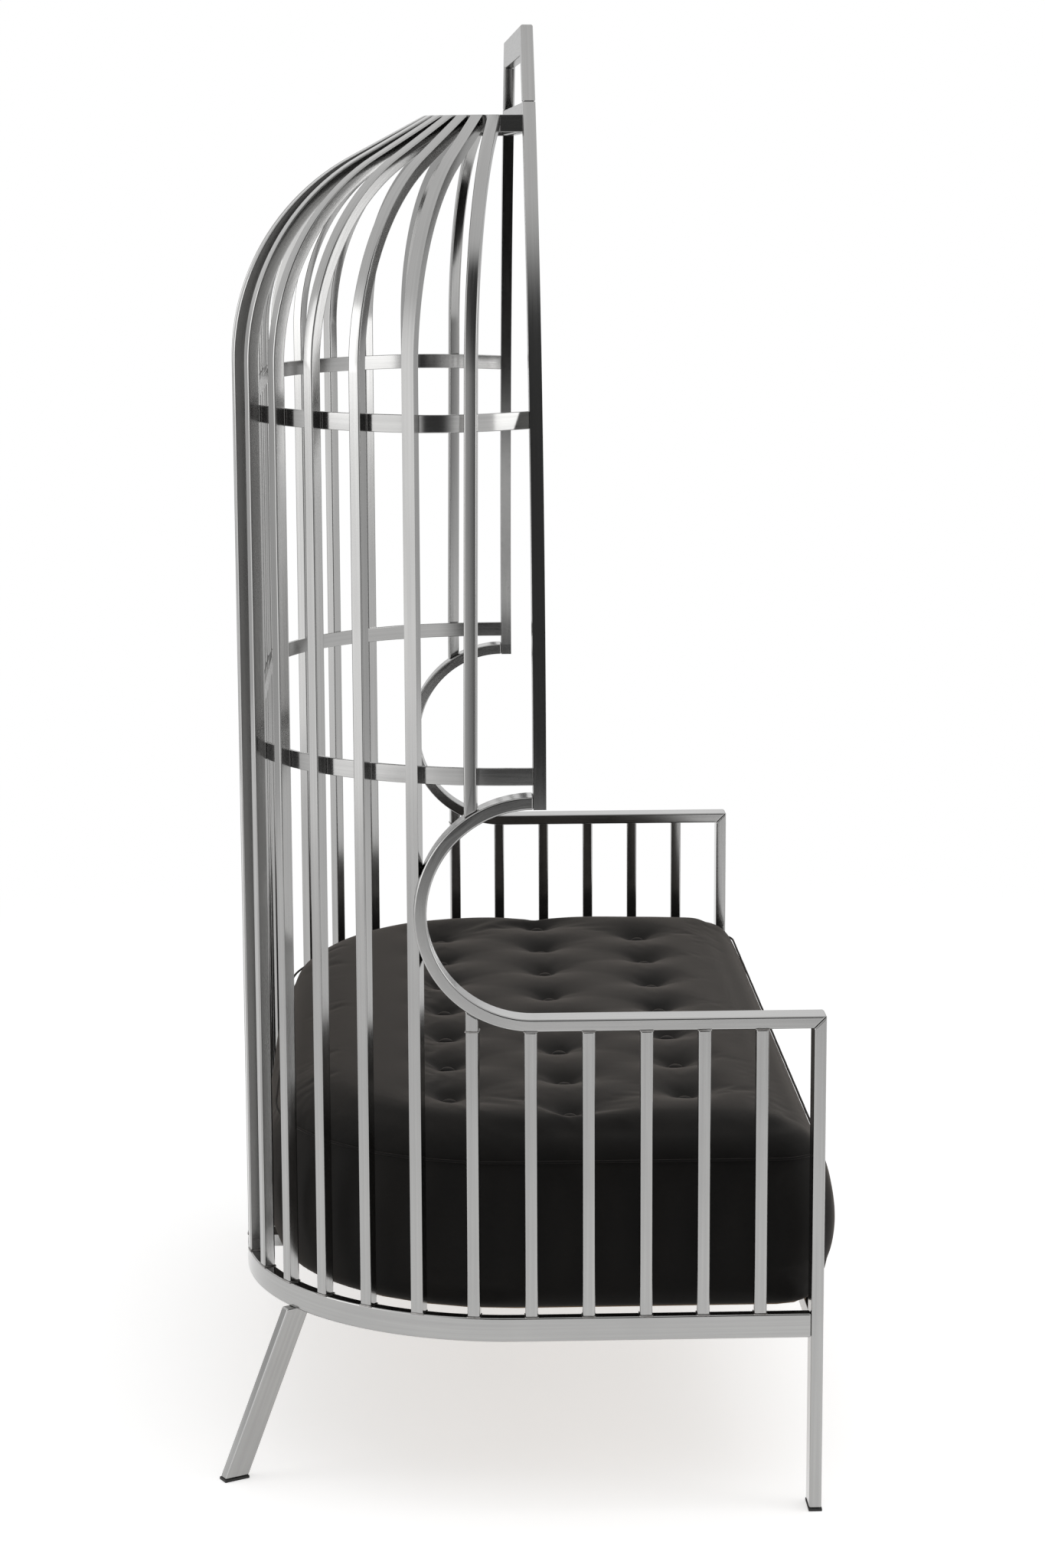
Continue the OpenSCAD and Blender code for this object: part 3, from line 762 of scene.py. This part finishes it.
def padOutline(out, count=padShape["around"]):
    # plan of the pad, moved outwards, with the way outwards at each point
    line = []
    corners = [
        (-1, padShape["frontRadius"], padShape["front"] + padShape["frontRadius"], math.pi, 1.5 * math.pi),
        (1, padShape["frontRadius"], padShape["front"] + padShape["frontRadius"], 1.5 * math.pi, 2 * math.pi),
        (1, padShape["backRadius"], padShape["back"] - padShape["backRadius"], 0.0, 0.5 * math.pi),
        (-1, padShape["backRadius"], padShape["back"] - padShape["backRadius"], 0.5 * math.pi, math.pi),
    ]
    steps = padShape["cornerSteps"]
    for side, r, y, a0, a1 in corners:
        x = side * (padShape["halfWidth"] - r)
        for k in range(steps + 1):
            a = a0 + (a1 - a0) * k / steps
            line.append((x + r * math.cos(a), y + r * math.sin(a), math.cos(a), math.sin(a)))
    line.append(line[0])
    line = np.array(line)
    gaps = np.linalg.norm(np.diff(line[:, :2], axis=0), axis=1)
    run = np.concatenate([[0.0], np.cumsum(gaps)])
    at = np.linspace(0, run[-1], count, endpoint=False)
    even = np.stack([np.interp(at, run, line[:, k]) for k in range(4)], axis=1)
    way = even[:, 2:] / np.linalg.norm(even[:, 2:], axis=1)[:, None]
    return even[:, :2] + way * out, way


def edgeShare(x, depth):
    # 0 at the pad's edge and 1 a hand's width inside it
    dx = padShape["halfWidth"] - np.abs(x)
    dFront, dBack = depth - padShape["front"], padShape["back"] - depth
    cx, cy = padShape["halfWidth"] - padShape["backRadius"], padShape["back"] - padShape["backRadius"]
    corner = (np.abs(x) > cx) & (depth > cy)
    fromArc = padShape["backRadius"] - np.hypot(np.abs(x) - cx, depth - cy)
    inside = np.where(corner, fromArc, np.minimum(np.minimum(dx, dFront), dBack))
    return np.clip(inside / padShape["edgeBlend"], 0.0, 1.0)


def topHeight(x, depth):
    share = edgeShare(x, depth)
    rise = padShape["crown"] * (1 - (1 - share) ** padShape["crownCurve"])
    dip = np.zeros(np.shape(x))
    for tx, td in tufts:
        gap = np.hypot(x - tx, depth - td)
        dip = np.maximum(dip, np.exp(-(gap / padShape["tuftSpread"]) ** padShape["tuftCurve"]))
    full = np.clip(share * padShape["tuftFade"], 0, 1)
    return padShape["edgeHeight"] + rise - padShape["tuftDepth"] * dip * full


def sideLevels():
    # outwards step and height down the pad's side, from the rim of the top to the rim of the bottom
    r, low = padShape["topRound"], padShape["bottomRound"]
    top, bottom = padShape["edgeHeight"], padShape["bottom"]
    turns = [math.pi / 2 * k / padShape["roundSteps"] for k in range(padShape["roundSteps"] + 1)]
    levels = [(-r + r * math.sin(a), top - r + r * math.cos(a), 0.0) for a in turns]
    for k in range(1, padShape["sideSteps"]):
        t = k / padShape["sideSteps"]
        swell = math.sin(math.pi * t)
        levels.append((padShape["sideBulge"] * swell, top - r + (bottom + low - top + r) * t, swell))
    return levels + [(-low + low * math.cos(a), bottom + low - low * math.sin(a), 0.0) for a in turns]


def padForm():
    # closed form: rings down the side, and the top and bottom closed by rings that shrink to a middle line
    points, faces, rims = [], [], []
    count, last = padShape["around"], padShape["topRings"]
    outline, way = padOutline(0.0)
    topRim, bottomRim = padOutline(-padShape["topRound"])[0], padOutline(-padShape["bottomRound"])[0]
    shrinks = [1 - (k / last) ** padShape["topSpacing"] for k in range(last + 1)]
    half = padShape["spineHalf"]
    spine = np.stack([np.clip(outline[:, 0], -half, half), np.full(count, padShape["spineDepth"])], axis=1)

    def addRing(ring):
        rims.append(range(len(points), len(points) + count))
        points.extend(ring)

    for share in reversed(shrinks[1:]):
        spot = spine + (topRim - spine) * share
        z = topHeight(spot[:, 0], spot[:, 1])
        addRing([inMetres(spot[k, 0], spot[k, 1], z[k]) for k in range(count)])
    for out, z, swell in sideLevels():
        ends = np.where(way[:, 1] < 0, padShape["frontBulge"], padShape["backBulge"])
        more = ends * swell * way[:, 1] ** 2
        spot = outline + way * (out + more)[:, None]
        addRing([inMetres(spot[k, 0], spot[k, 1], z) for k in range(count)])
    for share in shrinks[padShape["bottomStride"]::padShape["bottomStride"]]:
        spot = spine + (bottomRim - spine) * share
        addRing([inMetres(spot[k, 0], spot[k, 1], padShape["bottom"]) for k in range(count)])
    for a, b in zip(rims, rims[1:]):
        for k in range(count):
            n = (k + 1) % count
            faces.append((a[k], b[k], b[n], a[n]))
    faces.append(list(rims[0]))
    faces.append(list(reversed(rims[-1])))
    mesh = meshFrom("seat_pad", points, faces)
    built = bmesh.new()
    built.from_mesh(mesh)
    bmesh.ops.remove_doubles(built, verts=built.verts, dist=padShape["weldReach"])
    bmesh.ops.recalc_face_normals(built, faces=built.faces)
    built.to_mesh(mesh)
    built.free()
    return mesh


def addSmoothing(thing, name):
    smooth = thing.modifiers.new(name, "SMOOTH")
    smooth.factor, smooth.iterations = padShape[name]


def evenMesh(thing):
    remesh = thing.modifiers.new("evenMesh", "REMESH")
    remesh.mode = "VOXEL"
    remesh.voxel_size = padShape["voxel"]
    applied(thing)
    addSmoothing(thing, "settle")
    applied(thing)


def puffPad(thing):
    # air pressure swells the cover between the tufts, which stay tied down
    start = positions(thing.data)
    held = thing.vertex_groups.new(name="held")
    x, depth, z = inPlan(thing.data)
    weight = np.clip((padShape["holdBelow"] - z) / padShape["holdFade"], 0, 1)
    upper = z > padShape["edgeHeight"] - padShape["tuftHoldBand"]
    for tx, td in tufts:
        gap = np.hypot(x - tx, depth - td)
        tied = np.clip((padShape["tuftHold"] - gap) / padShape["tuftHoldFade"], 0, 1)
        weight = np.maximum(weight, np.where(upper, tied, 0))
    for index in np.nonzero(weight > padShape["leastHold"])[0]:
        held.add([int(index)], float(weight[index]), "REPLACE")
    cloth = thing.modifiers.new("cover", "CLOTH")
    cloth.settings.quality = coverCloth["quality"]
    cloth.settings.mass = coverCloth["mass"]
    cloth.settings.tension_stiffness = coverCloth["stretch"]
    cloth.settings.compression_stiffness = coverCloth["stretch"]
    cloth.settings.shear_stiffness = coverCloth["shear"]
    cloth.settings.bending_stiffness = coverCloth["bend"]
    cloth.settings.use_pressure = True
    cloth.settings.uniform_pressure_force = coverCloth["pressure"]
    cloth.settings.vertex_group_mass = "held"
    cloth.settings.effector_weights.gravity = 0.0
    cloth.collision_settings.use_collision = False
    cloth.point_cache.frame_start = 1
    cloth.point_cache.frame_end = coverCloth["frames"]
    for step in range(1, coverCloth["frames"] + 1):
        scene.frame_set(step)
    applied(thing)
    scene.frame_set(1)
    move = positions(thing.data) - start
    size = np.linalg.norm(move, axis=1)
    cap = padShape["moveCap"]
    move *= (cap * np.tanh(size / cap) / np.maximum(size, lineShape["tiny"]))[:, None]
    thing.data.vertices.foreach_set("co", (start + move).ravel())
    thing.data.update()


def pleatPad(thing):
    # folds that run into each tuft, and shallow valleys from tuft to tuft
    spots = positions(thing.data)
    x, depth, z = inPlan(thing.data)
    upper = z > padShape["edgeHeight"] - padShape["foldBand"]
    shift = np.zeros(len(spots))
    rng = np.random.default_rng(padShape["seed"])
    even, uneven = padShape["foldShares"]
    for tx, td in tufts:
        gap = np.hypot(x - tx, depth - td)
        angle = np.arctan2(depth - td, x - tx)
        folds, phase = int(rng.integers(*padShape["folds"])), rng.uniform(0, 6.28)
        shift -= padShape["pinch"] * np.exp(-((gap / padShape["pinchReach"]) ** padShape["pinchCurve"]))
        ring = padShape["foldHeight"] * np.exp(-((gap - padShape["foldRing"]) / padShape["foldWidth"]) ** 2)
        shift += ring * np.cos(folds * angle + phase) * (even + uneven * np.cos(angle * 2 + phase))
    for i, (ax, ad) in enumerate(tufts):
        for bx, bd in tufts[i + 1:]:
            length = math.hypot(bx - ax, bd - ad)
            if length > padShape["tuftPitch"] * padShape["linkReach"]:
                continue
            t = np.clip(((x - ax) * (bx - ax) + (depth - ad) * (bd - ad)) / length ** 2, 0, 1)
            off = np.hypot(x - (ax + t * (bx - ax)), depth - (ad + t * (bd - ad)))
            fall = np.clip(np.sin(math.pi * t), 0, 1) ** padShape["valleyCurve"]
            dip = np.exp(-(off / padShape["valleyWidth"]) ** 2) * fall
            shift -= dip * rng.uniform(*padShape["valleyDepth"])
    spots[:, 2] += np.where(upper, shift, 0.0) / 1000
    thing.data.vertices.foreach_set("co", spots.ravel())
    thing.data.update()


velvetLook = {
    "shadow": (0.0022, 0.0019, 0.0016),
    "light": (0.0070, 0.0058, 0.0047),
    "sheen": 0.185,
    "sheenColour": (0.94, 0.82, 0.72),
    "sheenRough": 0.34,
    "nap": 1400.0,
    "napBump": 0.25,
    "napDepth": 0.0004,
    "brushed": (9.0, 16.0, 9.0),
    "patches": 5.0,
    "patchShares": (0.55, 1.0),
    "rough": (0.72, 0.90),
    "specular": 0.25,
}


def darkVelvet(name="darkVelvet", lift=1.0):
    look = Recipe(name)
    solid = look.add("ShaderNodeTexCoord").outputs["Object"]
    nap = look.noise(solid, velvetLook["nap"], 4.0, 0.7)
    brushedWay = look.noise(look.stretch(solid, velvetLook["brushed"]), 1.0, 4.0, 0.55)
    patches = look.noise(solid, velvetLook["patches"], 2.0, 0.5)
    mixed = look.add("ShaderNodeMath", operation="MULTIPLY")
    look.join(look.spread(brushedWay, 0.0, 1.0), mixed.inputs[0])
    look.join(look.spread(patches, *velvetLook["patchShares"]), mixed.inputs[1])
    # a lift under 1 makes a darker copy of the velvet; on the piping this darkening is painted shade
    shadow, light = (tuple(c * lift for c in velvetLook[key]) for key in ("shadow", "light"))
    look.surface(
        Base_Color=look.blend(mixed.outputs[0], shadow, light),
        Roughness=look.spread(nap, *velvetLook["rough"]),
        Sheen_Weight=velvetLook["sheen"],
        Sheen_Roughness=velvetLook["sheenRough"],
        Sheen_Tint=velvetLook["sheenColour"],
        Specular_IOR_Level=velvetLook["specular"],
        Normal=look.bump(nap, velvetLook["napBump"], velvetLook["napDepth"]),
    )
    return look.material


def makePad():
    velvet = darkVelvet()
    thing = linkObject("seat_pad_cover", padForm())
    evenMesh(thing)
    puffPad(thing)
    pleatPad(thing)
    addSmoothing(thing, "relax")
    finer = thing.modifiers.new("finer", "SUBSURF")
    finer.levels = 1
    finer.render_levels = 1
    applied(thing)
    smoothFaces(thing.data)
    finishPiece(thing, velvet, "velvet", "seat_cover", "seat_foam")
    return thing


pad = makePad()
print("seat pad sewn: %d points" % len(pad.data.vertices))

# piping round the pad's side, under the rolled edge, in a darker copy of the velvet that paints the shade
# there
pipingShape = {
    "radius": 1.6,
    "sides": 10,
    "count": 900,
    "out": 0.2,
    "height": 459.0,
    "twist": 0.35,  # radians that the cord under the fabric turns from ring to ring
    "lump": 0.05,
    "lift": 0.45,  # share of the velvet's brightness, lowered as painted shade so the cord under the rolled edge shows no light line
}


def makePiping():
    outline, way = padOutline(pipingShape["out"], pipingShape["count"])
    points = []
    count, sides = pipingShape["count"], pipingShape["sides"]
    for k in range(count):
        middle = inMetres(outline[k, 0], outline[k, 1], pipingShape["height"])
        out = Vector((way[k, 0], way[k, 1], 0.0))
        for m in range(sides):
            w = 2 * math.pi * m / sides
            lump = 1 + pipingShape["lump"] * math.sin(3 * w + k * pipingShape["twist"])
            size = pipingShape["radius"] * lump / 1000
            points.append(middle + (out * math.cos(w) + up * math.sin(w)) * size)
    mesh = meshFrom("seat_pad_piping", points, tubeFaces(0, count, sides))
    # the piping's velvet is darkened to paint the shade under the rolled edge
    look = darkVelvet("pipingVelvetPaintedShade", pipingShape["lift"])
    finishPiece(linkObject("seat_pad_piping", mesh), look, "piping", "seat_piping")


makePiping()

# covered buttons
buttonShape = {
    "radius": 10.0,
    "height": 5.0,
    "rings": 7,
    "spokes": 28,
    "lift": 2.4,  # of the button's rim above the cover in the tuft
    "reach": 9.0,  # the cover's height is taken within this distance
    "band": 30.0,  # and down to this far below the edge's height
    "turnUnder": 1.12,
    "tuckIn": 0.72,
    "skirt": 1.6,
    "pucker": 0.03,
    "puckers": 7,
    "shade": 0.9,  # share of the velvet's brightness
}


def makeButtons():
    x, depth, z = inPlan(pad.data)
    upper = z > padShape["edgeHeight"] - buttonShape["band"]
    points, faces = [], []
    rings, spokes = buttonShape["rings"], buttonShape["spokes"]
    for tx, td in tufts:
        near = upper & (np.hypot(x - tx, depth - td) < buttonShape["reach"])
        seat = z[near].mean() + buttonShape["lift"]
        first = len(points)
        points.append(inMetres(tx, td, seat + buttonShape["height"]))
        for j in range(1, rings + 1):
            a = math.pi / 2 * buttonShape["turnUnder"] * j / rings
            under = max(0.0, a - math.pi / 2)
            r = buttonShape["radius"] * math.sin(min(a, math.pi / 2)) * (1 - buttonShape["tuckIn"] * under)
            level = seat + buttonShape["height"] * math.cos(a) - (buttonShape["skirt"] if j == rings else 0.0)
            for k in range(spokes):
                w = 2 * math.pi * k / spokes
                wave = buttonShape["pucker"] * math.cos(buttonShape["puckers"] * w + tx)
                out = r * (1 + wave) if j > rings - 2 else r
                points.append(inMetres(tx + out * math.cos(w), td + out * math.sin(w), level))
        for k in range(spokes):
            faces.append((first, first + 1 + k, first + 1 + (k + 1) % spokes))
        for j in range(rings - 1):
            a, b = first + 1 + j * spokes, first + 1 + (j + 1) * spokes
            for k in range(spokes):
                n = (k + 1) % spokes
                faces.append((a + k, b + k, b + n, a + n))
        faces.append([first + 1 + (rings - 1) * spokes + k for k in reversed(range(spokes))])
    thing = linkObject("seat_pad_buttons", meshFrom("seat_pad_buttons", points, faces))
    finishPiece(thing, darkVelvet("buttonVelvet", buttonShape["shade"]), "buttons", "seat_buttons")


makeButtons()
print("piping and buttons sewn on")

# floor, lamps and the white room, which the steel mirrors with a dark end, a bright wall and a dull one
studio = {
    "floorHalf": 4.5,
    "floorCells": 24,
    "floorColour": (0.78, 0.78, 0.78),
    "floorGlow": 0.54,
    "floorFade": (1.2, 3.4),  # metres over which the floor turns into the white room
    "roomLight": 0.62,
    "darkEnd": 0.06,  # the unlit end of the studio, behind the camera
    "darkWidth": (0.20, 0.44),  # sideways reach of the dark end, full and faded out
    "darkWidthFront": (0.20, 0.55),
    "darkSpread": 1.2,  # how much wider it gets towards the top
    "darkNarrowest": 0.02,
    "darkBottom": (-0.235, -0.195),
    "darkTop": (0.70, 0.86),
    "brightWall": 1.70,  # soft wall of light on the sofa's back side
    "brightWay": (-0.42, 0.91),
    "brightFrom": (0.78, 0.985),
    "farWall": 0.66,  # plain wall across from the camera
    "farFrom": (0.15, 0.50),
    "farTop": (0.04, 0.20),
    "lamps": [
        # name, place, aim, size, watts
        ("overhead", (-0.6, -0.6, 4.1), (0.0, 0.0, 0.6), 4.2, 54.0),
        ("front_fill", (-1.6, -4.2, 2.0), (0.0, 0.0, 0.9), 2.2, 26.0),
        ("back_fill", (-1.4, 4.4, 2.2), (0.0, 0.0, 1.0), 2.2, 22.0),
    ],
}


def makeFloor():
    n = studio["floorCells"]
    line = [studio["floorHalf"] * (2 * i / n - 1) for i in range(n + 1)]
    points = [(x, y, 0.0) for y in line for x in line]
    corners = [j * (n + 1) + i for j in range(n) for i in range(n)]
    faces = [(k, k + 1, k + n + 2, k + n + 1) for k in corners]
    thing = linkObject("studio_floor", meshFrom("studio_floor", points, faces))
    look = Recipe("paleFloor")
    solid = look.add("ShaderNodeTexCoord").outputs["Object"]
    reach = look.add("ShaderNodeVectorMath", operation="LENGTH")
    look.join(solid, reach.inputs[0])
    matt = look.add("ShaderNodeBsdfDiffuse")
    matt.inputs["Color"].default_value = (*studio["floorColour"], 1.0)
    glow = look.add("ShaderNodeEmission")
    glow.inputs["Strength"].default_value = studio["floorGlow"]
    both = look.add("ShaderNodeAddShader")
    look.join(matt.outputs[0], both.inputs[0])
    look.join(glow.outputs[0], both.inputs[1])
    white = look.add("ShaderNodeEmission")
    white.inputs["Strength"].default_value = 1.0
    far = look.add("ShaderNodeMixShader")
    look.join(look.spread(reach.outputs["Value"], 0.0, 1.0, *studio["floorFade"]), far.inputs[0])
    look.join(both.outputs[0], far.inputs[1])
    look.join(white.outputs[0], far.inputs[2])
    path = look.add("ShaderNodeLightPath")
    seen = look.add("ShaderNodeMath", operation="MAXIMUM")
    look.join(path.outputs["Is Camera Ray"], seen.inputs[0])
    look.join(path.outputs["Is Glossy Ray"], seen.inputs[1])
    shown = look.add("ShaderNodeMath", operation="MAXIMUM")
    look.join(seen.outputs[0], shown.inputs[0])
    look.join(path.outputs["Is Transmission Ray"], shown.inputs[1])
    final = look.add("ShaderNodeMixShader")
    look.join(shown.outputs[0], final.inputs[0])
    look.join(matt.outputs[0], final.inputs[1])
    look.join(far.outputs[0], final.inputs[2])
    look.join(final.outputs[0], look.output.inputs["Surface"])
    thing.data.materials.append(look.material)


def makeRoom():
    world = bpy.data.worlds.new("whiteRoom")
    scene.world = world
    world.use_nodes = True
    tree = world.node_tree
    tree.nodes.clear()

    def add(kind, **settings):
        made = tree.nodes.new(kind)
        for key, value in settings.items():
            setattr(made, key, value)
        return made

    def math2(operation, a, b):
        made = add("ShaderNodeMath", operation=operation)
        for value, place in ((a, 0), (b, 1)):
            if isinstance(value, (int, float)):
                made.inputs[place].default_value = value
            else:
                tree.links.new(value, made.inputs[place])
        return made.outputs[0]

    def fade(value, fromLow, fromHigh, low, high):
        made = add("ShaderNodeMapRange", interpolation_type="SMOOTHSTEP")
        for key, number in (("From Min", fromLow), ("From Max", fromHigh), ("To Min", low), ("To Max", high)):
            made.inputs[key].default_value = number
        tree.links.new(value, made.inputs["Value"])
        return made.outputs[0]

    def toward(value, mask, level):
        return math2("SUBTRACT", value, math2("MULTIPLY", mask, math2("SUBTRACT", value, level)))

    ways = add("ShaderNodeSeparateXYZ")
    tree.links.new(add("ShaderNodeTexCoord").outputs["Generated"], ways.inputs[0])
    wayX, wayY, wayZ = ways.outputs["X"], ways.outputs["Y"], ways.outputs["Z"]
    path = add("ShaderNodeLightPath")
    brightX, brightY = studio["brightWay"]
    wall = math2("ADD", math2("MULTIPLY", wayX, brightX), math2("MULTIPLY", wayY, brightY))
    glossy = fade(wall, *studio["brightFrom"], 1.0, studio["brightWall"])
    ahead = fade(wayX, *studio["farFrom"], 0.0, 1.0)
    low = fade(wayZ, *studio["farTop"], 1.0, 0.0)
    glossy = toward(glossy, math2("MULTIPLY", ahead, low), studio["farWall"])
    spread = math2("ADD", math2("MULTIPLY", math2("MAXIMUM", wayZ, 0.0), studio["darkSpread"]), 1.0)
    behind = math2("MAXIMUM", math2("MULTIPLY", wayX, -1.0), studio["darkNarrowest"])
    aside = math2("DIVIDE", wayY, math2("MULTIPLY", behind, spread))
    dark = fade(aside, *studio["darkWidth"], 1.0, 0.0)
    dark = math2("MULTIPLY", dark, fade(math2("MULTIPLY", aside, -1.0), *studio["darkWidthFront"], 1.0, 0.0))
    dark = math2("MULTIPLY", dark, fade(wayZ, *studio["darkBottom"], 0.0, 1.0))
    dark = math2("MULTIPLY", dark, fade(wayZ, *studio["darkTop"], 1.0, 0.0))
    glossy = toward(glossy, dark, studio["darkEnd"])
    white = add("ShaderNodeBackground")
    white.inputs["Color"].default_value = (1.0, 1.0, 1.0, 1.0)
    white.inputs["Strength"].default_value = 1.0
    end = add("ShaderNodeBackground")
    end.inputs["Color"].default_value = (1.0, 1.0, 1.0, 1.0)
    tree.links.new(glossy, end.inputs["Strength"])
    shown = add("ShaderNodeMixShader")
    tree.links.new(path.outputs["Is Glossy Ray"], shown.inputs[0])
    tree.links.new(white.outputs[0], shown.inputs[1])
    tree.links.new(end.outputs[0], shown.inputs[2])
    room = add("ShaderNodeBackground")
    room.inputs["Strength"].default_value = studio["roomLight"]
    seen = math2("MAXIMUM", path.outputs["Is Camera Ray"], path.outputs["Is Glossy Ray"])
    seen = math2("MAXIMUM", seen, path.outputs["Is Transmission Ray"])
    final = add("ShaderNodeMixShader")
    tree.links.new(seen, final.inputs[0])
    tree.links.new(room.outputs[0], final.inputs[1])
    tree.links.new(shown.outputs[0], final.inputs[2])
    out = add("ShaderNodeOutputWorld")
    tree.links.new(final.outputs[0], out.inputs["Surface"])


def makeLamps():
    for name, place, aim, size, watts in studio["lamps"]:
        lamp = bpy.data.lights.new(name, "AREA")
        lamp.shape = "SQUARE"
        lamp.size = size
        lamp.energy = watts
        thing = linkObject(name, lamp)
        thing.location = place
        thing.rotation_euler = (Vector(aim) - Vector(place)).to_track_quat("-Z", "Y").to_euler()
        thing.visible_glossy = name != "overhead"  # the steel mirrors a plain mid grey ceiling instead


makeFloor()
makeRoom()
makeLamps()
print("room lit")
